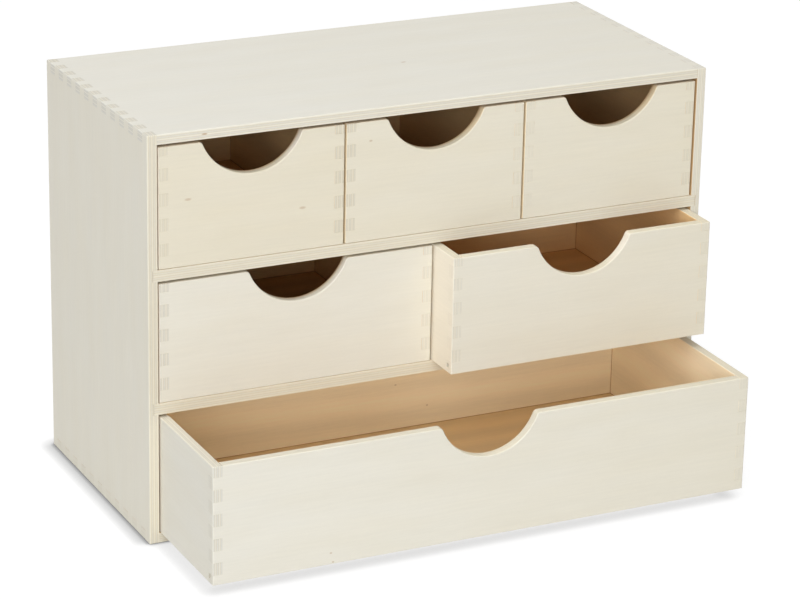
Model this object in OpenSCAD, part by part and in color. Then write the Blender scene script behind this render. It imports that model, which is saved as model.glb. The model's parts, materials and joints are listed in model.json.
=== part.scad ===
// Desktop chest of six plywood drawers in a plywood case, finger-jointed at every corner.
// The front faces -Y, +Z is up, and the origin is the centre of the case's underside.

/* [Case] */
// Width of the case over its sides
case_w = 420; // [300:5:600]
// Depth of the case from its front edge to its back
case_d = 190; // [150:5:300]
// Height of the case over its top and bottom boards
case_h = 290; // [240:5:400]
// Thickness of the top, bottom and side boards
case_t = 7; // [5:0.5:10]
// Fingers along each case corner, those of both boards counted
case_fingers = 23; // [11:2:31]
// Thickness of the two shelves
shelf_t = 8; // [5:0.5:10]
// How far the shelves are let into the sides
housing_depth = 3.5; // [1:0.5:4]
// Gap between a shelf's end and the floor of its housing
housing_play = 0.2; // [0.1:0.1:0.5]
// Thickness of the back panel
back_t = 3; // [2:0.5:5]
// Width of the rebate that the back panel lies in
rebate_w = 3.5; // [1:0.5:4]
// Gap between the back panel's edges and the rebate
rebate_play = 0.2; // [0.1:0.1:0.5]

/* [Drawers] */
// Thickness of the drawer fronts, backs and sides
drawer_t = 7; // [5:0.5:9]
// Height of one finger in the drawer corners
finger_h = 8.7; // [6:0.1:12]
// Height of the lowest front finger of the upper five drawers
upper_first_finger = 8.7; // [7.5:0.1:12]
// Height of the lowest front finger of the bottom drawer
bottom_first_finger = 7; // [7:0.1:12]
// Thickness of the drawer bases
base_t = 3; // [2:0.5:3.5]
// Height of a base's underside over the drawer's lower edge
base_lift = 3.5; // [2:0.5:3.5]
// Depth of the groove that holds the base
groove_depth = 3; // [2:0.5:4]
// Gap between a base's edges and the floor of its groove
groove_play = 0.2; // [0.1:0.1:0.5]

/* [Finger cut-outs] */
// Width of the cut-out where its arc meets the front's top edge
grip_w = 72; // [50:1:90]
// Depth of the cut-out below the front's top edge
grip_depth = 25.5; // [15:0.5:35]
// Radius of the rounded shoulders
grip_round = 3; // [1:0.5:5]

/* [Running clearances] */
// Gap under each drawer
under_gap = 0.3; // [0.2:0.1:1]
// Gap above each drawer
over_gap = 2; // [1:0.1:4]
// Gap between the outermost drawers and the case sides
side_gap = 1; // [0.5:0.1:2]
// Gap between neighbouring drawers
between_gap = 1.2; // [0.5:0.1:2]
// How far a closed front lies behind the case's front edge
front_recess = 0.6; // [0:0.1:3]
// Gap between a closed drawer and the back panel
rear_gap = 0.4; // [0.2:0.1:5]

/* [Pose] */
// How far the middle right drawer stands open
middle_right_open = 30; // [0:1:100]
// How far the bottom drawer stands open
bottom_open = 92; // [0:1:140]

/* [Hidden] */

LEFT = -1;
RIGHT = 1;
// How far a cutting block runs past the face that it opens
past = 1;
face_colour = "#e6dfcf";
edge_colour = "#ded3bd";
inside_colour = "#d9c39b";

// Drawers in each row, from the bottom up
row_counts = [1, 2, 3];
rows = len(row_counts);
inner_w = case_w - 2 * case_t;
bay_h = (case_h - 2 * case_t - (rows - 1) * shelf_t) / rows;
front_y = -case_d / 2;
back_y = case_d / 2;
case_finger_w = case_d / case_fingers;

drawer_h = bay_h - under_gap - over_gap;
drawer_len = case_d - back_t - front_recess - rear_gap;

// One arc, centred above the top edge, with a small round where it meets the edge
grip_r = (pow(grip_w / 2, 2) + pow(grip_depth, 2)) / (2 * grip_depth);
grip_rise = grip_r - grip_depth;
shoulder_x = sqrt(pow(grip_r + grip_round, 2) - pow(grip_rise + grip_round, 2));
shoulder_drop = grip_r * (grip_rise + grip_round) / (grip_r + grip_round) - grip_rise;

// Height of a bay's floor, with row 0 at the bottom
function bay_z(row) = case_t + row * (bay_h + shelf_t);

// Width of each drawer in a row
function share_w(row) =
    (inner_w - 2 * side_gap - (row_counts[row] - 1) * between_gap) / row_counts[row];

// Middle of the drawer at a place in a row, counted from 0 at the left
function share_x(row, place) =
    (place - (row_counts[row] - 1) / 2) * (share_w(row) + between_gap);

// A drawer is its middle, its width, its row, how far it stands open and its lowest finger
function drawer_at(row, place, opening, first_finger) =
    [share_x(row, place), share_w(row), row, opening, first_finger];
BOTTOM = drawer_at(0, 0, bottom_open, bottom_first_finger);
MIDDLE_LEFT = drawer_at(1, 0, 0, upper_first_finger);
MIDDLE_RIGHT = drawer_at(1, 1, middle_right_open, upper_first_finger);
TOP_LEFT = drawer_at(2, 0, 0, upper_first_finger);
TOP_MIDDLE = drawer_at(2, 1, 0, upper_first_finger);
TOP_RIGHT = drawer_at(2, 2, 0, upper_first_finger);
function middle_of(drawer) = drawer[0];
function width_of(drawer) = drawer[1];
function row_of(drawer) = drawer[2];
function opening_of(drawer) = drawer[3];
function first_finger_of(drawer) = drawer[4];

// Feet of the side boards' fingers in a drawer corner, from the lowest up
function side_finger_feet(drawer) =
    [for (z = first_finger_of(drawer); z < drawer_h; z = z + 2 * finger_h) z];

// Every second finger along a case corner; those of the sides start at 0, the others at 1
module case_finger_row(start, low_x, size_x, low_z, size_z) {
    for (i = [start : 2 : case_fingers - 1]) {
        low_y = i == 0 ? front_y - past : front_y + i * case_finger_w;
        high_y = i == case_fingers - 1 ? back_y + past : front_y + (i + 1) * case_finger_w;
        translate([low_x, low_y, low_z])
            cube([size_x, high_y - low_y, size_z]);
    }
}

// The back panel for a play of its own, or its rebate for no play
module back_block(play, depth) {
    block_w = inner_w + 2 * rebate_w - 2 * play;
    block_h = case_h - 2 * case_t + 2 * rebate_w - 2 * play;
    translate([-block_w / 2, back_y - back_t, case_t - rebate_w + play])
        cube([block_w, depth, block_h]);
}

// The shelf over a row for a play of its own, or its housings for no play
module shelf_block(row, play, front_past) {
    block_w = inner_w + 2 * housing_depth - 2 * play;
    translate([-block_w / 2, front_y - front_past, bay_z(row) + bay_h])
        cube([block_w, case_d - back_t + front_past, shelf_t]);
}

// Top or bottom board: the fingers of the sides come up through both of its ends
module case_lid(low_z) {
    color(face_colour)
        difference() {
            translate([-case_w / 2, front_y, low_z])
                cube([case_w, case_d, case_t]);
            for (low_x = [-case_w / 2 - past, case_w / 2 - case_t])
                case_finger_row(0, low_x, case_t + past, low_z - past, case_t + 2 * past);
            back_block(0, back_t + past);
        }
}

// Side board: the fingers of the top and bottom come out through it, and the shelves end in it
module case_side(side) {
    low_x = side == LEFT ? -case_w / 2 : case_w / 2 - case_t;
    color(face_colour)
        difference() {
            translate([low_x, front_y, 0])
                cube([case_t, case_d, case_h]);
            for (low_z = [-past, case_h - case_t])
                case_finger_row(1, low_x - past, case_t + 2 * past, low_z, case_t + past);
            for (row = [0 : rows - 2])
                shelf_block(row, 0, past);
            back_block(0, back_t + past);
        }
}

module case_top() {
    case_lid(case_h - case_t);
}

module case_bottom() {
    case_lid(0);
}

module case_back() {
    color(inside_colour)
        back_block(rebate_play, back_t);
}

module shelf(row) {
    color(edge_colour)
        shelf_block(row, housing_play, 0);
}

// A drawer's own frame: its front face is at y = 0, its lower edge at z = 0
module in_place(drawer) {
    translate([middle_of(drawer), front_y + front_recess - opening_of(drawer),
        bay_z(row_of(drawer)) + under_gap])
        children();
}

// The base for a play of its own, or its groove for no play
module base_block(drawer, play) {
    reach = groove_depth - play;
    block_w = width_of(drawer) - 2 * drawer_t + 2 * reach;
    block_len = drawer_len - 2 * drawer_t + 2 * reach;
    translate([-block_w / 2, drawer_t - reach, base_lift])
        cube([block_w, block_len, base_t]);
}

// The groove of a front or back runs out through the fingers at both ends
module groove_through(drawer) {
    translate([-width_of(drawer) / 2 - past, drawer_t - groove_depth, base_lift])
        cube([width_of(drawer) + 2 * past, drawer_len - 2 * (drawer_t - groove_depth), base_t]);
}

// Front or back board, notched at both ends for the fingers of the sides
module end_board(drawer, low_y) {
    w = width_of(drawer);
    difference() {
        translate([-w / 2, low_y, 0])
            cube([w, drawer_t, drawer_h]);
        for (foot = side_finger_feet(drawer))
            for (low_x = [-w / 2 - past, w / 2 - drawer_t])
                translate([low_x, low_y - past, foot])
                    cube([drawer_t + past, drawer_t + 2 * past, finger_h]);
        groove_through(drawer);
    }
}

// Outline of the cut-out, with y = 0 at the front's top edge
module grip_outline() {
    translate([0, grip_rise])
        circle(r = grip_r, $fn = 128);
    difference() {
        translate([-shoulder_x, -shoulder_drop])
            square([2 * shoulder_x, shoulder_drop + past]);
        for (side = [LEFT, RIGHT])
            translate([side * shoulder_x, -grip_round])
                circle(r = grip_round, $fn = 48);
    }
}

module drawer_front(drawer) {
    color(face_colour)
        in_place(drawer)
            difference() {
                end_board(drawer, 0);
                translate([0, drawer_t + past, drawer_h])
                    rotate([90, 0, 0])
                        linear_extrude(drawer_t + 2 * past)
                            grip_outline();
            }
}

module drawer_back(drawer) {
    color(inside_colour)
        in_place(drawer)
            end_board(drawer, drawer_len - drawer_t);
}

module drawer_base(drawer) {
    color(inside_colour)
        in_place(drawer)
            base_block(drawer, groove_play);
}

// Side board, notched at both ends for the fingers of the front and back
module drawer_side(drawer, side) {
    low_x = side == LEFT ? -width_of(drawer) / 2 : width_of(drawer) / 2 - drawer_t;
    first = first_finger_of(drawer);
    color(edge_colour)
        in_place(drawer)
            difference() {
                translate([low_x, 0, 0])
                    cube([drawer_t, drawer_len, drawer_h]);
                for (low_y = [-past, drawer_len - drawer_t]) {
                    translate([low_x - past, low_y, -past])
                        cube([drawer_t + 2 * past, drawer_t + past, first + past]);
                    for (foot = side_finger_feet(drawer))
                        translate([low_x - past, low_y, foot + finger_h])
                            cube([drawer_t + 2 * past, drawer_t + past, finger_h]);
                }
                base_block(drawer, 0);
            }
}

case_top();
case_bottom();
case_side(LEFT);  // case_left_side
case_side(RIGHT);  // case_right_side
case_back();
shelf(0);  // lower_shelf
shelf(1);  // upper_shelf
drawer_front(BOTTOM);  // bottom_drawer_front
drawer_back(BOTTOM);  // bottom_drawer_back
drawer_base(BOTTOM);  // bottom_drawer_base
drawer_side(BOTTOM, LEFT);  // bottom_drawer_left_side
drawer_side(BOTTOM, RIGHT);  // bottom_drawer_right_side
drawer_front(MIDDLE_LEFT);  // middle_left_drawer_front
drawer_back(MIDDLE_LEFT);  // middle_left_drawer_back
drawer_base(MIDDLE_LEFT);  // middle_left_drawer_base
drawer_side(MIDDLE_LEFT, LEFT);  // middle_left_drawer_left_side
drawer_side(MIDDLE_LEFT, RIGHT);  // middle_left_drawer_right_side
drawer_front(MIDDLE_RIGHT);  // middle_right_drawer_front
drawer_back(MIDDLE_RIGHT);  // middle_right_drawer_back
drawer_base(MIDDLE_RIGHT);  // middle_right_drawer_base
drawer_side(MIDDLE_RIGHT, LEFT);  // middle_right_drawer_left_side
drawer_side(MIDDLE_RIGHT, RIGHT);  // middle_right_drawer_right_side
drawer_front(TOP_LEFT);  // top_left_drawer_front
drawer_back(TOP_LEFT);  // top_left_drawer_back
drawer_base(TOP_LEFT);  // top_left_drawer_base
drawer_side(TOP_LEFT, LEFT);  // top_left_drawer_left_side
drawer_side(TOP_LEFT, RIGHT);  // top_left_drawer_right_side
drawer_front(TOP_MIDDLE);  // top_middle_drawer_front
drawer_back(TOP_MIDDLE);  // top_middle_drawer_back
drawer_base(TOP_MIDDLE);  // top_middle_drawer_base
drawer_side(TOP_MIDDLE, LEFT);  // top_middle_drawer_left_side
drawer_side(TOP_MIDDLE, RIGHT);  // top_middle_drawer_right_side
drawer_front(TOP_RIGHT);  // top_right_drawer_front
drawer_back(TOP_RIGHT);  // top_right_drawer_back
drawer_base(TOP_RIGHT);  // top_right_drawer_base
drawer_side(TOP_RIGHT, LEFT);  // top_right_drawer_left_side
drawer_side(TOP_RIGHT, RIGHT);  // top_right_drawer_right_side
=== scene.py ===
# %% [markdown]
# # A desktop chest of plywood drawers
#
# Six small drawers slide in a case of pale birch plywood. Every corner, in the case and in the
# drawers, is a finger joint: the two boards end in square fingers that fill each other's gaps.
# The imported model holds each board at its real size, and this script gives the boards their looks.
# It rebuilds every board with softened edges, and dresses it in plywood that is worked out in
# depth, so that a face shows long grain and a cut edge shows the plies.

# %% Load the frame
import json
import math

import bmesh
import bpy
from mathutils import Matrix, Vector


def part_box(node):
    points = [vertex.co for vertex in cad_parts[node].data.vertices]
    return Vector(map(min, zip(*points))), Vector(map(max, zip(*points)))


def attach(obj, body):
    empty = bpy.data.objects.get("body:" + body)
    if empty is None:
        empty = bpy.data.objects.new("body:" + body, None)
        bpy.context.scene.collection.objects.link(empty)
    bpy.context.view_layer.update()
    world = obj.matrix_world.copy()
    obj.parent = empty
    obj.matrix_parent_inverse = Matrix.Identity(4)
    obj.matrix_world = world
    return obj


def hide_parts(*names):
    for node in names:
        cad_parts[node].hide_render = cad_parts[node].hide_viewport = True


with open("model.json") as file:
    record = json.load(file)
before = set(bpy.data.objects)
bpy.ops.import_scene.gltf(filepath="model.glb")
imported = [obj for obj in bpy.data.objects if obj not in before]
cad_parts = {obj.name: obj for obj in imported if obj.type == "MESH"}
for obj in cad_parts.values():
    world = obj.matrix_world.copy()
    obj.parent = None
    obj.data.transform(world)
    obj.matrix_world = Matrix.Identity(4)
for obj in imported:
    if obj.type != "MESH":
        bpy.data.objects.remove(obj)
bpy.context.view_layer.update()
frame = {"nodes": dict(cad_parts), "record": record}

bodies = frame["record"]["behaviour"]["bodies"]

# %% [markdown]
# ## The camera
#
# The view is a long lens from the left front and from above, as a product is often shown: a long
# lens keeps the boards' edges nearly parallel. The direction is given as three angles and made into
# a rotation, with the camera's own right, up and back as its columns.

# %% Camera
MM = 0.001
CAMERA_AT = Vector((-946.9, -1977.5, 932.2)) * MM
CAMERA_TURN = math.radians(26.09)
CAMERA_TILT = math.radians(-20.46)
CAMERA_ROLL = math.radians(1.20)
LENS_MM = 146.9
SENSOR_MM = 36
SEES_AS_FAR_AS = 50


def camera_rotation(turn, tilt, roll):
    """Rotation of a camera that looks along +Y, then turns to the right, tilts up and rolls."""
    forward = Vector((math.sin(turn) * math.cos(tilt), math.cos(turn) * math.cos(tilt), math.sin(tilt)))
    level = Vector((math.cos(turn), -math.sin(turn), 0))
    upright = level.cross(forward)
    right = level * math.cos(roll) + upright * math.sin(roll)
    up = upright * math.cos(roll) - level * math.sin(roll)
    return Matrix((right, up, -forward)).transposed()


camera_data = bpy.data.cameras.new("camera")
camera_data.lens = LENS_MM
camera_data.sensor_width = SENSOR_MM
camera_data.clip_end = SEES_AS_FAR_AS
camera = bpy.data.objects.new("camera", camera_data)
rotation = camera_rotation(CAMERA_TURN, CAMERA_TILT, CAMERA_ROLL)
camera.matrix_world = Matrix.Translation(CAMERA_AT) @ rotation.to_4x4()
bpy.context.scene.collection.objects.link(camera)
bpy.context.scene.camera = camera
print("camera", round(CAMERA_AT.length, 2), "m from the chest")

# %% [markdown]
# ## Helpers for node trees
#
# Geometry and materials are both built from nodes. One small function adds a node to either kind of
# tree. Settings go to the node itself. An input gets a plain value, or a link from a socket or from
# the first output of a node, or several links where it is given a list. Another starts a group, and
# a third adds a Math node, the most common one here.


# %% Add a node
def add(tree, kind, inputs=None, **settings):
    """Add a node to a tree, set it up, and give its inputs values or links."""
    node = tree.nodes.new(kind)
    for name, value in settings.items():
        setattr(node, name, value)
    for key, value in (inputs or {}).items():
        for source in value if isinstance(value, list) else [value]:
            if isinstance(source, bpy.types.Node):
                source = source.outputs[0]
            if isinstance(source, bpy.types.NodeSocket):
                tree.links.new(source, node.inputs[key])
            else:
                node.inputs[key].default_value = source
    return node


def new_group(name, kind, inputs, outputs):
    """Start a node group with named sockets. Returns it with its inputs to read from."""
    tree = bpy.data.node_groups.new(name, kind)
    for direction, sockets in (("INPUT", inputs), ("OUTPUT", outputs)):
        for socket, socket_type in sockets.items():
            tree.interface.new_socket(socket, in_out=direction, socket_type="NodeSocket" + socket_type)
    return tree, add(tree, "NodeGroupInput").outputs


def calculate(tree, operation, *values):
    """A Math node with its values in order."""
    return add(tree, "ShaderNodeMath", dict(enumerate(values)), operation=operation)


print("helpers ready")

# %% [markdown]
# ## A row of blocks
#
# A finger, a groove and a housing are all blocks, and they come in rows. This first geometry tree
# makes such a row: a cube between two corners, instanced on a line of points that starts at the
# origin, so that the first copy stays where its corners say. With a count of 0 the row is empty.

# %% Tree: row of blocks
block_row, given = new_group(
    "Row of blocks",
    "GeometryNodeTree",
    {"Low": "Vector", "High": "Vector", "Step": "Vector", "Count": "Int"},
    {"Blocks": "Geometry"},
)
size = add(block_row, "ShaderNodeVectorMath", {0: given["High"], 1: given["Low"]}, operation="SUBTRACT")
total = add(block_row, "ShaderNodeVectorMath", {0: given["High"], 1: given["Low"]}, operation="ADD")
middle = add(block_row, "ShaderNodeVectorMath", {0: total, "Scale": 0.5}, operation="SCALE")
cube = add(block_row, "GeometryNodeMeshCube", {"Size": size})
block = add(block_row, "GeometryNodeTransform", {"Geometry": cube, "Translation": middle})
points = add(block_row, "GeometryNodeMeshLine", {"Count": given["Count"], "Offset": given["Step"]},
             mode="OFFSET")
copies = add(block_row, "GeometryNodeInstanceOnPoints", {"Points": points, "Instance": block})
real = add(block_row, "GeometryNodeRealizeInstances", {"Geometry": copies})
add(block_row, "NodeGroupOutput", {"Blocks": real})
print("row of blocks:", len(block_row.nodes), "nodes")

# %% [markdown]
# ## A jointed board
#
# The real boards are cut on a spindle with a stack of cutters, all sockets of a joint at once, and
# this tree works in the same way. It makes the row of fingers at both ends. One board of a joint
# loses the space of those fingers. The other keeps them and loses the rest of its corner, so both
# boards are cut from the same row and fit. Grooves, housings and rebates are more rows, and the
# object's own mesh, where it has one, is the cutter for the finger cut-out. The tree ends in a
# plain mesh with its material set, because instances would not be exported.

# %% Tree: jointed board
jointed_board, given = new_group(
    "Jointed board",
    "GeometryNodeTree",
    {
        "Cutter": "Geometry",
        "Board Low": "Vector",
        "Board High": "Vector",
        "Finger Low": "Vector",
        "Finger High": "Vector",
        "Finger Step": "Vector",
        "Fingers": "Int",
        "Corner Low": "Vector",
        "Corner High": "Vector",
        "Other End": "Vector",
        "Keeps Fingers": "Bool",
        "Slot Low": "Vector",
        "Slot High": "Vector",
        "Slot Step": "Vector",
        "Slots": "Int",
        "Rebate Low": "Vector",
        "Rebate High": "Vector",
        "Rebates": "Int",
        "Material": "Material",
    },
    {"Board": "Geometry"},
)


def row_of(name, count, step=(0, 0, 0)):
    """A row of blocks between the corners that the tree is given under a name."""
    corners = {"Low": given[name + " Low"], "High": given[name + " High"]}
    return add(jointed_board, "GeometryNodeGroup", {**corners, "Step": step, "Count": count},
               node_tree=block_row)


def at_both_ends(there):
    """The blocks at one end of the board, with a copy of them at the other end."""
    copy = add(jointed_board, "GeometryNodeTransform", {"Geometry": there, "Translation": given["Other End"]})
    return add(jointed_board, "GeometryNodeJoinGeometry", {"Geometry": [there, copy]})


def cut(solid, cutters):
    """The solid without the space of its cutters."""
    return add(jointed_board, "GeometryNodeMeshBoolean", {"Mesh 1": solid, "Mesh 2": cutters},
               operation="DIFFERENCE", solver="EXACT")


fingers = at_both_ends(row_of("Finger", given["Fingers"], given["Finger Step"]))
corners = at_both_ends(row_of("Corner", 1))
joint = add(
    jointed_board,
    "GeometryNodeSwitch",
    {"Switch": given["Keeps Fingers"], "False": fingers, "True": cut(corners, [fingers])},
    input_type="GEOMETRY",
)
slots = row_of("Slot", given["Slots"], given["Slot Step"])
rebate = row_of("Rebate", given["Rebates"])
board = cut(row_of("Board", 1), [joint, slots, rebate, given["Cutter"]])
real = add(jointed_board, "GeometryNodeRealizeInstances", {"Geometry": board})
dressed = add(jointed_board, "GeometryNodeSetMaterial", {"Geometry": real, "Material": given["Material"]})
add(jointed_board, "NodeGroupOutput", {"Board": dressed})
print("jointed board:", len(jointed_board.nodes), "nodes")

# %% [markdown]
# ## Where the fingers stand
#
# Along a case corner the depth of the case is shared by 23 fingers. The top and the bottom have
# the odd ones, counted from 0, and the sides have the even ones, the first and the last among
# them. In a drawer the side boards' fingers are 8.7 mm high, with gaps of the same height, and
# show as five small squares of end grain in the front. They start 8.7 mm up, and 7 mm up in the
# bottom drawer.
#
# A cutter runs a millimetre past each face that it opens. Two faces in one plane would leave the
# cut undecided there.

# %% Finger rows
X, Y, Z = 0, 1, 2
PAST = 1 * MM
CASE_FINGERS = 23
DRAWER_FINGERS = 5
FINGER_H = 8.7 * MM
FIRST_FINGER = {"bottom_drawer": 7 * MM}


def finger_row(low, high, end, along, first, finger, count, depth, keeps):
    """Inputs for a board that is jointed at both ends of one axis, with its fingers along another."""
    corner_low = low - Vector((PAST,) * 3)
    corner_high = high + Vector((PAST,) * 3)
    corner_high[end] = low[end] + depth
    further = PAST if keeps else 0
    finger_low = corner_low - Vector((further,) * 3)
    finger_high = corner_high + Vector((further,) * 3)
    finger_low[along], finger_high[along] = first, first + finger
    step, other_end = Vector(), Vector()
    step[along] = 2 * finger
    other_end[end] = high[end] - low[end] - depth + PAST
    return {
        "Corner Low": corner_low,
        "Corner High": corner_high,
        "Finger Low": finger_low,
        "Finger High": finger_high,
        "Finger Step": step,
        "Fingers": count,
        "Other End": other_end,
        "Keeps Fingers": keeps,
    }


case_low, case_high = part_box("case_top")
CASE_FINGER = (case_high.y - case_low.y) / CASE_FINGERS
print("fingers", round(CASE_FINGER / MM, 2), "mm wide in the case,", FINGER_H / MM, "mm in the drawers")

# %% [markdown]
# ## Grooves, housings and the rebate
#
# The thin boards are let into the thick ones: each drawer base into a groove, the shelves into
# housings in the case sides, and the back panel into a rebate around the back of the case. Each of
# those is the thin board's own box with a little play, and it runs out where the board goes in.

# %% Room for the thin boards
PLAY = 0.2 * MM
OUT_THROUGH_ENDS = 6 * MM


def room_for(name, before, after):
    """The box of a board that is let in, with more room before and after it along each axis."""
    low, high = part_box(name)
    return low - Vector(before), high + Vector(after)


def slot_inputs(low_high, count=1, step=(0, 0, 0)):
    """Inputs for one slot or a row of them."""
    return {"Slot Low": low_high[0], "Slot High": low_high[1], "Slot Step": Vector(step), "Slots": count}


shelf_step = (0, 0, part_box("upper_shelf")[0].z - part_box("lower_shelf")[0].z)
housings = slot_inputs(room_for("lower_shelf", (PLAY, PAST, 0), (PLAY, 0, 0)), 2, shelf_step)
rebate_low, rebate_high = room_for("case_back", (PLAY, 0, PLAY), (PLAY, PAST, PLAY))
back_rebate = {"Rebate Low": rebate_low, "Rebate High": rebate_high, "Rebates": 1}


def jointing(body, piece, low, high):
    """Inputs that say what is cut into a board."""
    depth = min(high - low)
    if body == "case":
        row = (Y, low.y + CASE_FINGER, CASE_FINGER, CASE_FINGERS // 2, depth)
        if piece in ("top", "bottom"):
            return {**finger_row(low, high, X, *row, keeps=True), **back_rebate}
        if piece.endswith("side"):
            return {**finger_row(low, high, Z, *row, keeps=False), **back_rebate, **housings}
        return {}
    if piece == "base":
        return {}
    row = (Z, low.z + FIRST_FINGER.get(body, FINGER_H), FINGER_H, DRAWER_FINGERS, depth)
    if piece.endswith("side"):
        groove = room_for(body + "_base", (PLAY, PLAY, 0), (PLAY, PLAY, 0))
        return {**finger_row(low, high, Y, *row, keeps=True), **slot_inputs(groove)}
    groove = room_for(body + "_base", (OUT_THROUGH_ENDS, PLAY, 0), (OUT_THROUGH_ENDS, PLAY, 0))
    return {**finger_row(low, high, X, *row, keeps=False), **slot_inputs(groove)}


print("shelves", round(shelf_step[2] / MM, 2), "mm apart")

# %% [markdown]
# ## The finger cut-out
#
# Each front is pulled by an arched cut-out in its top edge, with small rounds where the arc meets
# the edge. Its outline is worked out as three arcs that touch: where two circles touch, the point
# lies on the line between their centres. The outline is drawn out into a cutter that is longer
# than the front is thick. An even number of steps puts one corner of the outline at the very bottom.

# %% Finger cut-out
GRIP_W = 72 * MM
GRIP_DEPTH = 25.5 * MM
GRIP_ROUND = 3 * MM
ARC_STEPS = 56
ROUND_STEPS = 6

grip_r = ((GRIP_W / 2) ** 2 + GRIP_DEPTH**2) / (2 * GRIP_DEPTH)
grip_rise = grip_r - GRIP_DEPTH
shoulder_x = math.sqrt((grip_r + GRIP_ROUND) ** 2 - (grip_rise + GRIP_ROUND) ** 2)
touch = math.atan2(grip_rise + GRIP_ROUND, shoulder_x)


def arc(centre_x, centre_z, radius, start, stop, steps):
    """Points along an arc, with both of its ends."""
    angles = [start + (stop - start) * i / steps for i in range(steps + 1)]
    return [(centre_x + radius * math.cos(a), centre_z + radius * math.sin(a)) for a in angles]


left_round = arc(-shoulder_x, -GRIP_ROUND, GRIP_ROUND, math.pi / 2, touch, ROUND_STEPS)
main_arc = arc(0, grip_rise, grip_r, math.pi + touch, 2 * math.pi - touch, ARC_STEPS)
right_round = [(-x, z) for x, z in reversed(left_round)]
GRIP_OUTLINE = [(-shoulder_x, PAST)] + left_round + main_arc[1:-1] + right_round + [(shoulder_x, PAST)]


def grip_cutter(low, high):
    """Mesh of the cutter for the cut-out in the top edge of a front board."""
    middle_x = (low.x + high.x) / 2
    mesh = bpy.data.meshes.new("grip_cutter")
    form = bmesh.new()
    ends = []
    for y in (low.y - PAST, high.y + PAST):
        ends.append([form.verts.new((middle_x + x, y, high.z + z)) for x, z in GRIP_OUTLINE])
    form.faces.new(ends[0])
    form.faces.new(list(reversed(ends[1])))
    for i, corner in enumerate(ends[0]):
        form.faces.new((ends[0][i - 1], ends[1][i - 1], ends[1][i], corner))
    bmesh.ops.recalc_face_normals(form, faces=form.faces)
    form.to_mesh(mesh)
    form.free()
    return mesh


print("cut-out arc of radius", round(grip_r / MM, 2), "mm,", len(GRIP_OUTLINE), "points")

# %% [markdown]
# ## Colours and plywood
#
# Birch plywood is peeled from the log as thin veneers and glued up with the grain crossed from ply
# to ply. A face shows long grain: slow changes of tone, soft streaks, fine pores, and faint arches
# where the knife ran through the growth rings. A cut edge shows each ply in turn, pale where the
# fibres run along the edge and darker where they are cut across, with a thin glue line between.
# The boards here are sanded and lightly whitened outside, and warmer inside, where they are bare.
#
# One shader group works all of this out from the place in the board, in millimetres, and from the
# normal. So a finger's end comes out darker and striped by itself, because it is end grain.


# %% Colour helper
def linear(hex_colour):
    """Linear RGBA of an sRGB hex colour."""
    channels = [int(hex_colour[i : i + 2], 16) / 255 for i in (1, 3, 5)]
    values = [c / 12.92 if c <= 0.04045 else ((c + 0.055) / 1.055) ** 2.4 for c in channels]
    return (*values, 1)


print("linear grey of #808080:", round(linear("#808080")[0], 3))

# %% [markdown]
# ### The group and its helpers
#
# Whatever the wood has to know about a board is an input of the group. A Mix node has other sockets
# for each kind of data, told apart only by their numbers, so one helper keeps those numbers. Two
# more say how much of something there is at a place: a smooth rise, and a straight fade to nothing.

# %% Plywood group
MIX_SOCKETS = {"FLOAT": (2, 3, 0), "VECTOR": (4, 5, 1), "RGBA": (6, 7, 2)}

plywood, given = new_group(
    "Plywood",
    "ShaderNodeTree",
    {
        "Place": "Vector",
        "Normal": "Vector",
        "Veneer": "Vector",
        "Thickness": "Float",
        "Plies": "Float",
        "Length": "Float",
        "Both Faces": "Float",
        "Start Tone": "Float",
        "End Tone": "Float",
        "Pale": "Color",
        "Cream": "Color",
        "Bare": "Color",
        "Ends Show": "Float",
        "Knot A": "Vector",
        "Knot B": "Vector",
        "Knot Size": "Vector",
        "Knot Share": "Float",
        "Creases": "Vector",
        "Running Faces": "Vector",
        "Running Tone": "Color",
        "Rim Shade": "Float",
    },
    {"Color": "Color", "Roughness": "Float", "Relief": "Float"},
)


def mix(factor, first, second, kind="RGBA", blend="MIX"):
    """The first value or colour, with the second blended in by the factor."""
    first_socket, second_socket, result = MIX_SOCKETS[kind]
    inputs = {0: factor, first_socket: first, second_socket: second}
    return add(plywood, "ShaderNodeMix", inputs, data_type=kind, blend_type=blend).outputs[result]


def rise(value, start, whole):
    """Nothing up to the start, all from the whole on, and a smooth rise between them."""
    return add(plywood, "ShaderNodeMapRange", {"Value": value, "From Min": start, "From Max": whole},
               interpolation_type="SMOOTHSTEP")


def fade(value, start, end, full=1.0):
    """The full amount up to the start, and nothing from the end on."""
    return add(plywood, "ShaderNodeMapRange",
               {"Value": value, "From Min": start, "From Max": end, "To Min": full, "To Max": 0.0})


print("plywood group:", len(given) - 1, "inputs")

# %% [markdown]
# ### Which ply, and which way its fibres run
#
# The group's axes are the board's own: X along the grain of the face, Y across it and Z through
# the thickness. The depth in the board, counted in plies, gives the number of the ply. Every second
# ply is turned by a quarter, so the pattern's X and Y change places there. The end grain factor is
# how directly a surface faces along the fibres of its ply.

# %% Plies
PLY_STEP_MM = (97, 41, 0)
place = add(plywood, "ShaderNodeSeparateXYZ", {0: given["Place"]}).outputs
share = calculate(plywood, "DIVIDE", place["Z"], given["Thickness"])
share = calculate(plywood, "ADD", share, 0.5)
depth = calculate(plywood, "MULTIPLY", share, given["Plies"])
ply = calculate(plywood, "FLOOR", depth)
crossed = calculate(plywood, "MODULO", ply, 2.0)

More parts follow.
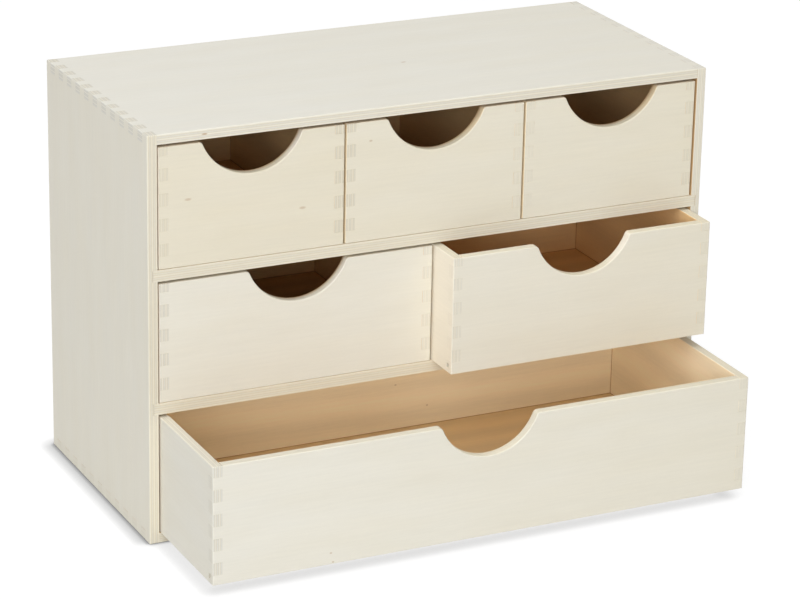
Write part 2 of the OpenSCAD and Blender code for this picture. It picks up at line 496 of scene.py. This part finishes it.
# Each board, and each of its plies, has a place of its own in the pattern
ply_shift = add(plywood, "ShaderNodeVectorMath", {0: PLY_STEP_MM, "Scale": ply}, operation="SCALE")
moved = add(plywood, "ShaderNodeVectorMath", {0: given["Place"], 1: ply_shift}, operation="ADD")
moved = add(plywood, "ShaderNodeVectorMath", {0: moved, 1: given["Veneer"]}, operation="ADD")
moved = add(plywood, "ShaderNodeSeparateXYZ", {0: moved}).outputs
straight = add(plywood, "ShaderNodeCombineXYZ", {"X": moved["X"], "Y": moved["Y"]})
turned = add(plywood, "ShaderNodeCombineXYZ", {"X": moved["Y"], "Y": moved["X"]})
grain = mix(crossed, straight, turned, "VECTOR")

signed = add(plywood, "ShaderNodeSeparateXYZ", {0: given["Normal"]}).outputs
facing = add(plywood, "ShaderNodeVectorMath", {0: given["Normal"]}, operation="ABSOLUTE")
facing = add(plywood, "ShaderNodeSeparateXYZ", {0: facing}).outputs
end_grain = mix(crossed, facing["X"], facing["Y"], "FLOAT")
print("plies:", len(plywood.nodes), "nodes")

# %% [markdown]
# ### The figure of the veneer
#
# Each pattern is a noise on stretched coordinates, because wood fibres are far longer than they are
# wide. The tone drifts over about 30 cm. Streaks are some 9 mm wide and 20 cm long, as the knife
# met softer and harder wood. Real pores are 0.1 mm wide, too fine to show, so they are drawn about
# 1 mm wide. The arches are bands across the grain that a slow noise bends.


# %% Figure
def stretched(along, across):
    """The grain's place, with a pattern that is so long and so wide, in millimetres."""
    return add(plywood, "ShaderNodeVectorMath", {0: grain, 1: (1 / along, 1 / across, 1)},
               operation="MULTIPLY")


def noise(along, across, detail):
    """A flat noise that is stretched along the grain."""
    return add(plywood, "ShaderNodeTexNoise", {"Vector": stretched(along, across), "Detail": detail},
               noise_dimensions="2D")


drift = noise(320, 90, detail=1.0)
streaks = noise(190, 9, detail=2.0)
pores = noise(22, 1.1, detail=2.0)
rings = add(
    plywood,
    "ShaderNodeTexWave",
    {"Vector": stretched(230, 50), "Scale": 0.5, "Distortion": 8.0, "Detail": 1.0, "Detail Scale": 0.6},
    wave_type="BANDS",
    bands_direction="Y",
)
print("figure:", len(plywood.nodes), "nodes")

# %% [markdown]
# ### The tone of a face
#
# Outside, a pale tone and a cream tone are blended. Each end of a board has its own share of cream,
# the slow drift adds to it, and a long edge keeps more of it. The face that looks into the chest
# gets the bare tone, and so do both faces of a shelf or a drawer base.

# %% Tone of a face
DRIFT = 0.3
EDGE_CREAM = 0.35
FACE_STARTS, FACE_WHOLE = 0.4, 0.8
along = calculate(plywood, "DIVIDE", place["X"], given["Length"])
along = calculate(plywood, "ADD", along, 0.5)
tint = mix(along, given["Start Tone"], given["End Tone"], "FLOAT")
tint = calculate(plywood, "MULTIPLY_ADD", drift, DRIFT, tint)
tint = calculate(plywood, "SUBTRACT", tint, DRIFT / 2)
tint = calculate(plywood, "MULTIPLY_ADD", facing["Y"], EDGE_CREAM, tint)
tint = add(plywood, "ShaderNodeClamp", {"Value": tint})
outside = mix(tint, given["Pale"], given["Cream"])
inward = mix(given["Both Faces"], signed["Z"], facing["Z"], "FLOAT")
inside = rise(inward, FACE_STARTS, FACE_WHOLE)
# The bare tone holds painted light and shade for some bodies
face = mix(inside, outside, given["Bare"])
print("tone of a face:", len(plywood.nodes), "nodes")

# %% [markdown]
# ### Painted light and shade on the running faces and on the rim of the cut-out
#
# The faces of a small drawer that run along the case or along another drawer have a tone of their
# own, which is painted light and shade. A lighter cream stands in for the light that a neighbouring
# front throws on them, and a browner tone stands in for the shade in the gap between two small
# drawers. For a side board that is its outer face, and for a front or a back its two ends. Around the
# cut-out, the inner half of the rim is browner. This is painted shade, where the case above shades
# the rim of a closed drawer.

# %% Running faces and rim
RIM_HALF_MM = GRIP_W / MM / 2
RIM_FADE_MM = 2
RIM_STARTS, RIM_WHOLE = 0.45, 0.9
RIM_SHADE_TONE = linear("#c79f70")
# Painted light and shade: the running faces take the running tone
outward = calculate(plywood, "MULTIPLY", signed["Z"], -1.0)
outward = calculate(plywood, "MAXIMUM", outward, 0.0)
outward = add(plywood, "ShaderNodeCombineXYZ", {"X": facing["X"], "Z": outward})
running = add(plywood, "ShaderNodeVectorMath", {0: outward, 1: given["Running Faces"]},
              operation="DOT_PRODUCT").outputs["Value"]
running = rise(running, FACE_STARTS, FACE_WHOLE)
face = mix(running, face, given["Running Tone"])

# Painted shade: the inner half of the cut-out's rim turns brown
sideways = calculate(plywood, "ABSOLUTE", place["X"])
painted_rim_shade = fade(sideways, RIM_HALF_MM, RIM_HALF_MM + RIM_FADE_MM, given["Rim Shade"])
on_edge = calculate(plywood, "SUBTRACT", 1.0, facing["Z"])
painted_rim_shade = calculate(plywood, "MULTIPLY", painted_rim_shade, on_edge)
inner = rise(share, RIM_STARTS, RIM_WHOLE)
painted_rim_shade = calculate(plywood, "MULTIPLY", painted_rim_shade, inner)
face = mix(painted_rim_shade, face, RIM_SHADE_TONE)
print("running faces and rim:", len(plywood.nodes), "nodes")

# %% [markdown]
# ### The figure on the face
#
# Streaks, pores and arches only make the tone a little lighter or darker: good birch is a quiet
# wood, and the whitening hides most of it outside. On a bare face it shows more.

# %% Figure on the face
STREAK = 0.055
PORE = 0.045
BARE_SHOWS = 0.6
RING = 0.01
BARE_RING = 0.1
value = calculate(plywood, "MULTIPLY_ADD", streaks, STREAK, -(STREAK + PORE) / 2)
value = calculate(plywood, "MULTIPLY_ADD", pores, PORE, value)
shows = calculate(plywood, "MULTIPLY_ADD", inside, BARE_SHOWS, 1.0)
value = calculate(plywood, "MULTIPLY_ADD", value, shows, 1.0)
ring = calculate(plywood, "SUBTRACT", rings, 0.5)
ring_share = mix(inside, RING, BARE_RING, "FLOAT")
value = calculate(plywood, "MULTIPLY_ADD", ring, ring_share, value)
figured = mix(1.0, face, value, blend="MULTIPLY")
print("figure on the face:", len(plywood.nodes), "nodes")

# %% [markdown]
# ### End grain
#
# Across the fibres the wood takes in more light, so the end grain is darker, and the end of a whole
# board a little more so. How far it shows differs from board to board, because the whitening
# covers some ends better than others.

# %% End grain
END_STARTS, END_WHOLE = 0.3, 0.9
END_TONE = linear("#f6f7f9")
CUT_TONE = linear("#fbfbfb")
ends = rise(end_grain, END_STARTS, END_WHOLE)
shown = calculate(plywood, "MULTIPLY", ends, given["Ends Show"])
with_ends = mix(shown, figured, END_TONE, blend="MULTIPLY")
board_end = rise(facing["X"], END_STARTS, END_WHOLE)
shown = calculate(plywood, "MULTIPLY", board_end, given["Ends Show"])
with_ends = mix(shown, with_ends, CUT_TONE, blend="MULTIPLY")
print("end grain:", len(plywood.nodes), "nodes")

# %% [markdown]
# ### Glue lines
#
# A glue line lies at each whole number of plies, apart from the two faces. It is 0.1 mm thick in
# reality and drawn 0.4 mm thick, so that it shows. On the end of a board it is as faint as the
# end grain is there.

# %% Glue lines
GLUE_HALF_MM = 0.2
GLUE_TONE = linear("#f6f1e8")


def soft_line(distance, half_width):
    """How much of a soft line there is at a distance from its middle."""
    return fade(distance, half_width / 2, half_width * 1.5)


nearest = calculate(plywood, "ROUND", depth)
nearest = calculate(plywood, "MAXIMUM", nearest, 1.0)
last = calculate(plywood, "SUBTRACT", given["Plies"], 1.0)
nearest = calculate(plywood, "MINIMUM", nearest, last)
off_glue = calculate(plywood, "SUBTRACT", depth, nearest)
off_glue = calculate(plywood, "ABSOLUTE", off_glue)
ply_mm = calculate(plywood, "DIVIDE", given["Thickness"], given["Plies"])
off_glue = calculate(plywood, "MULTIPLY", off_glue, ply_mm)
glue = soft_line(off_glue, GLUE_HALF_MM)
glue = calculate(plywood, "MULTIPLY", glue, on_edge)
shown = mix(board_end, 1.0, given["Ends Show"], "FLOAT")
shown = calculate(plywood, "MULTIPLY", glue, shown)
glued = mix(shown, with_ends, GLUE_TONE, blend="MULTIPLY")
print("glue lines:", len(plywood.nodes), "nodes")

# %% [markdown]
# ### Creases and pin knots
#
# Inside a drawer, a thin brown line of painted shadow runs where its boards meet, for the shade in
# the inner corners: two across the grain, as far to the left as to the right, and one or two along
# it. A few pin knots are small brown dashes along the grain. A board has room for two of them.

# %% Creases and pin knots
CREASE_HALF_MM = 0.3
CREASE_SHADE_TONE = linear("#c9ac86")
KNOT_TONE = linear("#b89c7a")
KNOT_CORE, KNOT_END = 0.6, 1.3
FAR_MM = 9999.0
creases = add(plywood, "ShaderNodeSeparateXYZ", {0: given["Creases"]}).outputs
off_crease = FAR_MM
for here, crease_at in ((sideways, creases["X"]), (place["Y"], creases["Y"]), (place["Y"], creases["Z"])):
    off = calculate(plywood, "SUBTRACT", here, crease_at)
    off = calculate(plywood, "ABSOLUTE", off)
    off_crease = calculate(plywood, "MINIMUM", off_crease, off)
# Painted shadow: a thin brown line darkens the bare faces along the inner corners
crease = soft_line(off_crease, CREASE_HALF_MM)
crease = calculate(plywood, "MULTIPLY", crease, inside)
marked = mix(crease, glued, CREASE_SHADE_TONE, blend="MULTIPLY")

for knot_at in (given["Knot A"], given["Knot B"]):
    away = add(plywood, "ShaderNodeVectorMath", {0: given["Place"], 1: knot_at}, operation="SUBTRACT")
    away = add(plywood, "ShaderNodeVectorMath", {0: away, 1: given["Knot Size"]}, operation="DIVIDE")
    away = add(plywood, "ShaderNodeVectorMath", {0: away}, operation="LENGTH").outputs["Value"]
    knot = fade(away, KNOT_CORE, KNOT_END, given["Knot Share"])
    marked = mix(knot, marked, KNOT_TONE)
print("creases and knots:", len(plywood.nodes), "nodes")

# %% [markdown]
# ### Roughness and relief
#
# Sanded birch is dull, duller in some streaks, and duller still on the end grain. The relief is in
# millimetres: fibres and pores make up to 0.05 mm of it, and the glue lines lie 0.03 mm deep.

# %% Roughness and relief
SANDED = 0.48
STREAK_DULLER = 0.12
END_DULLER = 0.15
PORE_RELIEF_MM = 0.05
GLUE_RELIEF_MM = -0.03
roughness = calculate(plywood, "MULTIPLY_ADD", streaks, STREAK_DULLER, SANDED)
roughness = calculate(plywood, "MULTIPLY_ADD", ends, END_DULLER, roughness)
relief = calculate(plywood, "MULTIPLY_ADD", pores, PORE_RELIEF_MM, 0.0)
relief = calculate(plywood, "MULTIPLY_ADD", glue, GLUE_RELIEF_MM, relief)
add(plywood, "NodeGroupOutput", {"Color": marked, "Roughness": roughness, "Relief": relief})
print("plywood:", len(plywood.nodes), "nodes")

# %% [markdown]
# ### The boards' tones
#
# No two boards took the whitening alike, and the top row of fronts has more cream as painted shade,
# against the stronger lamp light up there. A board's tone is its share of cream at both ends, and a
# drawer's side boards have that of the front's nearer end. The bare tones are pairs: for the boards
# around a body, and for its base or its shelves. Some pairs hold painted light and shade: the case's
# inner faces are darker, which browns the gaps, the middle left drawer is darker inside, and the
# bottom and middle right drawers are lighter inside. Where small drawers face each other, their
# running faces are browner, as painted shade in the gap. Their other running faces are a lighter
# cream, as painted light.

# %% Tones of the boards
PALE = "#e6e3d8"
CREAM = "#e0d8c2"
# Painted shade: the top row of fronts has more cream, since the lamps light it more strongly
TONES = {
    "case_top": (0.0, 0.25),
    "case_left_side": (0.33, 0.33),
    "case_right_side": (0.0, 0.1),
    "top_left_drawer_front": (0.8, 0.8),
    "top_middle_drawer_front": (0.7, 0.7),
    "top_right_drawer_front": (0.65, 0.8),
    "middle_left_drawer_front": (0.25, 0.25),
    "middle_right_drawer_front": (0.35, 0.65),
    "bottom_drawer_front": (0.15, 0.55),
}
USUAL_TONES = (0.35, 0.35)
# Painted light and shade in the bare tones: the case's insides and the middle left drawer are darker, and the
# bottom and middle right drawers are lighter
BARE_AND_PAINTED_LIGHT = {
    "case": ("#ccab7e", "#e6d9c2"),
    "bottom_drawer": ("#fdeccd", "#f3d6a8"),
    "middle_left_drawer": ("#dcb078", "#cc9c62"),
    "middle_right_drawer": ("#f5d09a", "#e6bb80"),
}
USUAL_BARE = ("#e8c48f", "#d8aa70")
# Painted light: the running tone is a lighter cream. Painted shade: the tone between drawers is browner.
RUNNING_TONE = "#f2ebdc"
BETWEEN_TONE = "#ecdab8"
BETWEEN_DRAWERS = (
    "top_left_drawer_right_side",
    "top_middle_drawer",
    "top_right_drawer",
    "middle_left_drawer_right_side",
)
# The rim's painted shade is strong on the closed drawers and faint on the two open ones, which stand in the
# light
RIM_SHADE_SHARE = {"bottom_drawer": 0.15, "middle_right_drawer": 0.15}
USUAL_RIM_SHADE = 0.8
print(len(TONES), "boards with a tone of their own")

# %% [markdown]
# ### Where end grain and knots show
#
# The end grain shows strongly on some boards and faintly on others. The pin knots' places are in
# the object's own coordinates, and their sizes are along the grain, across it and through it.

# %% Ends and knots of the boards
STRONG_ENDS = ("case_top", "case_left_side", "top_left_drawer_right_side", "top_middle_drawer_left_side",
               "middle_left_drawer_left_side", "bottom_drawer_left_side")
FAINT_ENDS = ("case_bottom", "top_middle_drawer_right_side", "top_right_drawer_left_side",
              "middle_right_drawer_front", "middle_right_drawer_right_side", "bottom_drawer_right_side")
ENDS_SHOW = {**dict.fromkeys(STRONG_ENDS, 0.95), **dict.fromkeys(FAINT_ENDS, 0.25)}
USUAL_ENDS = 0.55
PIN_KNOTS_MM = {
    "case_top": ((-169.6, -95, 286.6), (18.6, -3.4, 290)),
    "top_left_drawer_front": ((-181.1, -94.4, 242.8), (-98.7, -94.4, 226.4)),
    "top_middle_drawer_front": ((-49.0, -94.4, 267.3),),
    "bottom_drawer_front": ((-117.0, -186.4, 15.4), (-115.4, -186.4, 8.6)),
    "bottom_drawer_back": ((41.5, -7.4, 28.6), (15.6, -7.4, 48.4)),
}
NO_KNOT = (FAR_MM, 0, 0)
KNOT_SIZE_MM = {
    "case_top": (1.9, 0.7, 0.6),
    "top_left_drawer_front": (2.3, 0.9, 0.5),
    "top_middle_drawer_front": (1.2, 0.7, 0.5),
}
SMALL_KNOT_MM = (0.9, 0.6, 0.5)
KNOT_SHARE = {"case_top": 0.8, "top_left_drawer_front": 0.5}
USUAL_KNOT_SHARE = 0.55
print(sum(map(len, PIN_KNOTS_MM.values())), "pin knots")

# %% [markdown]
# ### A board's own axes and creases
#
# The grain runs along the longest side of every board, as it is cut in practice, since plywood is
# stiffer that way. The third axis points into the body, so that the outer and the inner face can be
# told apart. A crease lies where the inner face of the next board begins.

# %% Axes and creases
AXES = (Vector((1, 0, 0)), Vector((0, 1, 0)), Vector((0, 0, 1)))
NO_CREASES = (FAR_MM,) * 3
DRAWER_WALL_MM = 7
BASE_HIDDEN_MM = 3


def board_axes(low, high, centre_of_body):
    """Rotation from the object's axes to the grain, across the grain, and inwards through a board."""
    extent = list(high - low)
    grain_axis = AXES[extent.index(max(extent))]
    flat = extent.index(min(extent))
    inwards = AXES[flat] * (1 if centre_of_body[flat] > (low[flat] + high[flat]) / 2 else -1)
    return Matrix((grain_axis, inwards.cross(grain_axis), inwards))


def creases_of(name, body, turn, centre, low, high):
    """Where a drawer board meets the others: half way along the grain, and twice across it."""
    if body == "case":
        return NO_CREASES
    half = sorted((high - low) / MM / 2)
    if name.endswith("_base"):
        across = half[1] - BASE_HIDDEN_MM
        return (half[2] - BASE_HIDDEN_MM, -across, across)
    base_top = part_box(body + "_base")[1].z / MM
    across = (turn @ Vector((0, 0, base_top - centre.z))).y
    return (half[2] - DRAWER_WALL_MM, across, across)


print("drawer walls", DRAWER_WALL_MM, "mm thick")

# %% [markdown]
# ### One finish for each board
#
# A board's own material turns the object's coordinates into the board's axes: two Mapping nodes
# with the same rotation, one for places and one for normals. Each board is shifted to another place
# in the veneer, so that no two show the same figure. A thick board has five plies and a thin one
# three. The thickness gets a hair of margin, which keeps both faces inside their own plies.

# %% Finish of a board
VENEER_STEP_MM = Vector((613, 211, 0))
THICK_BOARD_MM = 5
MARGIN_MM = 0.02
WOOD_IOR = 1.5


def plywood_finish(name, body, number, low, high, centre_of_body, both_faces):
    """Material of one board."""
    material = bpy.data.materials.new("whitened_birch_plywood_" + name)
    material.use_nodes = True
    tree = material.node_tree
    tree.nodes.clear()
    turn = board_axes(low, high, centre_of_body)
    angles = turn.to_euler()
    thickness = min(high - low) / MM
    centre = (low + high) / 2 / MM
    start_tone, end_tone = TONES.get(name, TONES.get(body + "_front", USUAL_TONES))
    if name.endswith("_left_side"):
        end_tone = start_tone
    if name.endswith("_right_side"):
        start_tone = end_tone
    # Bare tones, with painted light and shade for some bodies
    inner_tone_around, inner_tone_within = BARE_AND_PAINTED_LIGHT.get(body, USUAL_BARE)
    running_faces = (0, 0, 0)
    if body not in ("case", "bottom_drawer") and not name.endswith("_base"):
        running_faces = (0, 0, 1) if name.endswith("_side") else (1, 0, 0)
    knots = [turn @ (Vector(knot) - centre) for knot in PIN_KNOTS_MM.get(name, ())] + [NO_KNOT] * 2
    coordinates = add(tree, "ShaderNodeTexCoord").outputs
    place = add(tree, "ShaderNodeMapping",
                {"Vector": coordinates["Object"], "Location": -(turn @ centre), "Rotation": angles,
                 "Scale": (1 / MM,) * 3})
    normal = add(tree, "ShaderNodeMapping", {"Vector": coordinates["Normal"], "Rotation": angles},
                 vector_type="VECTOR")
    wood = add(
        tree,
        "ShaderNodeGroup",
        {
            "Place": place,
            "Normal": normal,
            "Veneer": VENEER_STEP_MM * number,
            "Thickness": thickness + MARGIN_MM,
            "Length": max(high - low) / MM,
            "Start Tone": start_tone,
            "End Tone": end_tone,
            "Ends Show": ENDS_SHOW.get(name, USUAL_ENDS),
            "Knot A": knots[0],
            "Knot B": knots[1],
            "Knot Size": KNOT_SIZE_MM.get(name, SMALL_KNOT_MM),
            "Knot Share": KNOT_SHARE.get(name, USUAL_KNOT_SHARE),
            "Creases": creases_of(name, body, turn, centre, low, high),
            "Plies": 5.0 if thickness > THICK_BOARD_MM else 3.0,
            "Both Faces": float(both_faces),
            "Pale": linear(PALE),
            "Cream": linear(CREAM),
            "Running Faces": running_faces,
            "Running Tone": linear(BETWEEN_TONE if name.startswith(BETWEEN_DRAWERS) else RUNNING_TONE),
            "Rim Shade": RIM_SHADE_SHARE.get(body, USUAL_RIM_SHADE) if name.endswith("_front") else 0.0,
            "Bare": linear(inner_tone_within if name.endswith(("_base", "_shelf")) else inner_tone_around),
        },
        node_tree=plywood,
    ).outputs
    bump = add(tree, "ShaderNodeBump", {"Height": wood["Relief"], "Distance": MM})
    shader = add(
        tree,
        "ShaderNodeBsdfPrincipled",
        {"Base Color": wood["Color"], "Roughness": wood["Roughness"], "Normal": bump, "IOR": WOOD_IOR},
    )
    add(tree, "ShaderNodeOutputMaterial", {"Surface": shader})
    return material


print("finish ready")

# %% [markdown]
# ## Softened edges
#
# The chest is sanded after it is glued: every edge that a hand meets is a little round, while the
# seams between the fingers and the edges along the gaps stay almost sharp. A Bevel modifier does
# that by edge weights. Weight 1 is for the cut-outs, for the long edges on top of a drawer, and for
# the outer corners of the case and the drawers. The other edges get a fifth of it. Inner corners
# get none.

# %% Edge weights
EDGE_ROUND = 0.8 * MM
SEAM_SHARE = 0.2
LONG_EDGE = 12 * MM
SHARP_ANGLE = math.radians(30)
FLAT_ANGLE = math.radians(0.5)
ALONG_AN_AXIS = 0.9999
TOUCHING = 1e-6


def meets_a_hand(edge, low, high):
    """Whether an edge is a long one on top of the body, or lies on one of its outer corners."""
    touched = set()
    for axis in (X, Y, Z):
        for side in (low, high):
            if all(abs(vert.co[axis] - side[axis]) < TOUCHING for vert in edge.verts):
                touched.add((axis, side is high))
    if (Z, False) in touched:
        return False
    return len(touched) >= 2 or (Z, True) in touched and edge.calc_length() > LONG_EDGE


def weigh_edges(mesh, low, high):
    """Clean up a board's mesh and say how much each edge is softened."""
    form = bmesh.new()
    form.from_mesh(mesh)
    bmesh.ops.remove_doubles(form, verts=form.verts, dist=TOUCHING)
    bmesh.ops.dissolve_limit(form, angle_limit=FLAT_ANGLE, verts=form.verts, edges=form.edges)
    weights = form.edges.layers.float.new("bevel_weight_edge")
    for face in form.faces:
        face.smooth = True
    for edge in form.edges:
        turn = edge.calc_face_angle_signed(0)
        edge.smooth = abs(turn) < SHARP_ANGLE
        if turn > SHARP_ANGLE:
            curved = any(max(map(abs, face.normal)) < ALONG_AN_AXIS for face in edge.link_faces)
            whole = curved or meets_a_hand(edge, low, high)
            edge[weights] = 1 if whole else SEAM_SHARE
    volume = form.calc_volume()
    open_edges = sum(not edge.is_manifold for edge in form.edges)
    form.to_mesh(mesh)
    form.free()
    return volume, open_edges


print("edges rounded by", EDGE_ROUND / MM, "mm")

# %% [markdown]
# ## The boards
#
# Each board is one object with the tree as a modifier. The modifier's inputs are set by their
# identifiers before the object is first evaluated. The result is then kept as a plain mesh, the
# modifier goes, and the Bevel takes its place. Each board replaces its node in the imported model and
# rides on the same body, so the drawers slide with all their boards. As a test, each board's volume
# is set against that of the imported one.

# %% Boards
IDENTIFIERS = {
    item.name: item.identifier for item in jointed_board.interface.items_tree if item.in_out == "INPUT"
}
EDGE_STEPS = 2


def make_board(name, mesh, material, inputs):
    """Run the tree for one board. Returns its object, with the result as a plain mesh."""
    piece = bpy.data.objects.new(name, mesh)
    bpy.context.scene.collection.objects.link(piece)
    modifier = piece.modifiers.new("jointed board", "NODES")
    modifier.node_group = jointed_board
    for key, value in {**inputs, "Material": material}.items():
        modifier[IDENTIFIERS[key]] = value
    piece.update_tag()
    graph = bpy.context.evaluated_depsgraph_get()
    result = bpy.data.meshes.new_from_object(piece.evaluated_get(graph), depsgraph=graph)
    piece.modifiers.remove(modifier)
    piece.data = result
    return piece


number = 0
worst = 0
for body, names in bodies.items():
    corners = [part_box(name) for name in names]
    body_low = Vector([min(low[axis] for low, high in corners) for axis in (X, Y, Z)])
    body_high = Vector([max(high[axis] for low, high in corners) for axis in (X, Y, Z)])
    for name in names:
        low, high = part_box(name)
        part = name.removeprefix(body + "_")
        both_faces = part == "base" or "shelf" in part
        material = plywood_finish(name, body, number, low, high, (body_low + body_high) / 2, both_faces)
        mesh = grip_cutter(low, high) if part == "front" else bpy.data.meshes.new(name)
        inputs = {"Board Low": low, "Board High": high, **jointing(body, part, low, high)}
        piece = make_board(name + "_board", mesh, material, inputs)
        volume, open_edges = weigh_edges(piece.data, body_low, body_high)
        bevel = piece.modifiers.new("softened edges", "BEVEL")
        bevel.limit_method = "WEIGHT"
        bevel.width = EDGE_ROUND
        bevel.segments = EDGE_STEPS
        bevel.harden_normals = True
        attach(piece, body)
        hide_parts(name)
        packed = bmesh.new()
        packed.from_mesh(frame["nodes"][name].data)
        bmesh.ops.remove_doubles(packed, verts=packed.verts, dist=TOUCHING)
        difference = volume / packed.calc_volume() - 1
        worst = max(worst, abs(difference))
        print(f"{name}: {volume * 1e6:.2f} cm3, {difference:+.4%} from the packed board,",
              open_edges, "open edges")
        packed.free()
        number += 1
print(number, "boards, the largest difference in volume", f"{worst:.4%}")

# %% [markdown]
# ## The floor
#
# The chest stands on white paper. To the camera, and in reflections, the paper glows nearly white
# and adds only a fifth of the lamps' light, so it stays white where nothing stands near. Close to
# the chest it is hemmed in, which two Ambient Occlusion nodes measure: a tight one for the dark
# line of contact, and a wide one for the soft shade. The wide one leans to the right and to the
# front, which gives more shade at the left of the chest and less in front of it. For all other
# light the paper is a plain matt grey, so that it doesn't light the chest from below too strongly.

# %% Floor
FLOOR_GAP = 0.3 * MM
FLOOR_SIZE = 12.0
PAPER_GREY = 0.6
WIDE_SHADOW = 12.5 * MM
WIDE_SHARE = 0.76
TIGHT_SHADOW = 3.5 * MM
TIGHT_SHARE = 0.95
OPEN_SIDE = Vector((0.75, -0.55, 0.6)).normalized()
FLOOR_REFLECTS = 0.2
FLOOR_GLOWS = 0.87
WHITE = (1, 1, 1, 1)

floor_mesh = bpy.data.meshes.new("floor")
half = FLOOR_SIZE / 2
floor_mesh.from_pydata(
    [(x, y, -FLOOR_GAP) for x, y in ((-half, -half), (half, -half), (half, half), (-half, half))],
    [],
    [(0, 1, 2, 3)],
)
floor = bpy.data.objects.new("floor", floor_mesh)
bpy.context.scene.collection.objects.link(floor)


def as_seen(tree):
    """1 for what the camera sees, also in a reflection or through glass, and 0 for other light."""
    path = add(tree, "ShaderNodeLightPath").outputs
    seen = calculate(tree, "MAXIMUM", path["Is Camera Ray"], path["Is Glossy Ray"])
    return calculate(tree, "MAXIMUM", seen, path["Is Transmission Ray"])


paper = bpy.data.materials.new("white_studio_paper")
paper.use_nodes = True
tree = paper.node_tree
tree.nodes.clear()
seen = as_seen(tree)
matt = add(tree, "ShaderNodeBsdfDiffuse", {"Color": (PAPER_GREY, PAPER_GREY, PAPER_GREY, 1)})
tilted = add(tree, "ShaderNodeCombineXYZ", {"X": OPEN_SIDE.x, "Y": OPEN_SIDE.y, "Z": OPEN_SIDE.z})
wide = add(tree, "ShaderNodeAmbientOcclusion", {"Distance": WIDE_SHADOW, "Normal": tilted}).outputs["AO"]
wide = calculate(tree, "MULTIPLY_ADD", wide, WIDE_SHARE, 1 - WIDE_SHARE)
tight = add(tree, "ShaderNodeAmbientOcclusion", {"Distance": TIGHT_SHADOW}).outputs["AO"]
tight = calculate(tree, "MULTIPLY_ADD", tight, TIGHT_SHARE, 1 - TIGHT_SHARE)
openness = calculate(tree, "MULTIPLY", wide, tight)
shade = calculate(tree, "MULTIPLY", openness, FLOOR_REFLECTS)
bright = add(tree, "ShaderNodeBsdfDiffuse", {"Color": shade})
lift = calculate(tree, "MULTIPLY", openness, FLOOR_GLOWS)
glow = add(tree, "ShaderNodeEmission", {"Color": WHITE, "Strength": lift})
lifted = add(tree, "ShaderNodeAddShader", {0: bright, 1: glow})
surface = add(tree, "ShaderNodeMixShader", {0: seen, 1: matt, 2: lifted})
add(tree, "ShaderNodeOutputMaterial", {"Surface": surface})
floor_mesh.materials.append(paper)
print("floor", FLOOR_SIZE, "m wide,", len(tree.nodes), "nodes")

# %% [markdown]
# ## The room
#
# To the camera the world is plain white. For all other light it is a dim room that is brighter
# towards the left front. The brightness is the direction's likeness to that side, raised to a power
# to narrow it.

# %% World
BRIGHT_SIDE = Vector((-0.62, -0.72, 0.3)).normalized()
NARROWED = 3.0
ROOM_LIGHT = 0.33
BRIGHT_SIDE_LIGHT = 0.5

world = bpy.data.worlds.new("studio")
world.use_nodes = True
tree = world.node_tree
tree.nodes.clear()
seen = as_seen(tree)
towards = add(tree, "ShaderNodeTexCoord").outputs["Generated"]
likeness = add(tree, "ShaderNodeVectorMath", {0: towards, 1: BRIGHT_SIDE},
               operation="DOT_PRODUCT").outputs["Value"]
likeness = calculate(tree, "MAXIMUM", likeness, 0.0)
likeness = calculate(tree, "POWER", likeness, NARROWED)
strength = calculate(tree, "MULTIPLY_ADD", likeness, BRIGHT_SIDE_LIGHT, ROOM_LIGHT)
room = add(tree, "ShaderNodeBackground", {"Color": WHITE, "Strength": strength})
white = add(tree, "ShaderNodeBackground", {"Color": WHITE, "Strength": 1.0})
surface = add(tree, "ShaderNodeMixShader", {0: seen, 1: room, 2: white})
add(tree, "ShaderNodeOutputWorld", {"Surface": surface})
bpy.context.scene.world = world
print("room light", ROOM_LIGHT, "and up to", ROOM_LIGHT + BRIGHT_SIDE_LIGHT)

# %% [markdown]
# ## The lamps
#
# Three large softboxes give soft light without hard shadows. The one above makes the top the
# brightest side, and the two at the left front light the fronts and, a little less, the left side.


# %% Lamps
def softbox(name, place, target, width, height, watts):
    """A large flat lamp that faces a point of the chest."""
    data = bpy.data.lights.new(name, "AREA")
    data.shape = "RECTANGLE"
    data.size = width
    data.size_y = height
    data.energy = watts
    lamp = bpy.data.objects.new(name, data)
    lamp.location = place
    lamp.rotation_euler = (Vector(place) - Vector(target)).to_track_quat("Z", "Y").to_euler()
    bpy.context.scene.collection.objects.link(lamp)


MIDDLE = (0, 0, 0.15)
softbox("top_softbox", (-0.8, -0.7, 3.8), MIDDLE, 3.0, 3.0, 60)
softbox("high_softbox", (-1.9, -2.8, 2.5), MIDDLE, 2.0, 2.0, 36)
softbox("low_softbox", (-1.9, -3.6, 1.15), MIDDLE, 3.0, 0.85, 51)
bpy.context.scene.view_settings.view_transform = "Standard"
print(len(bpy.data.lights), "lamps")
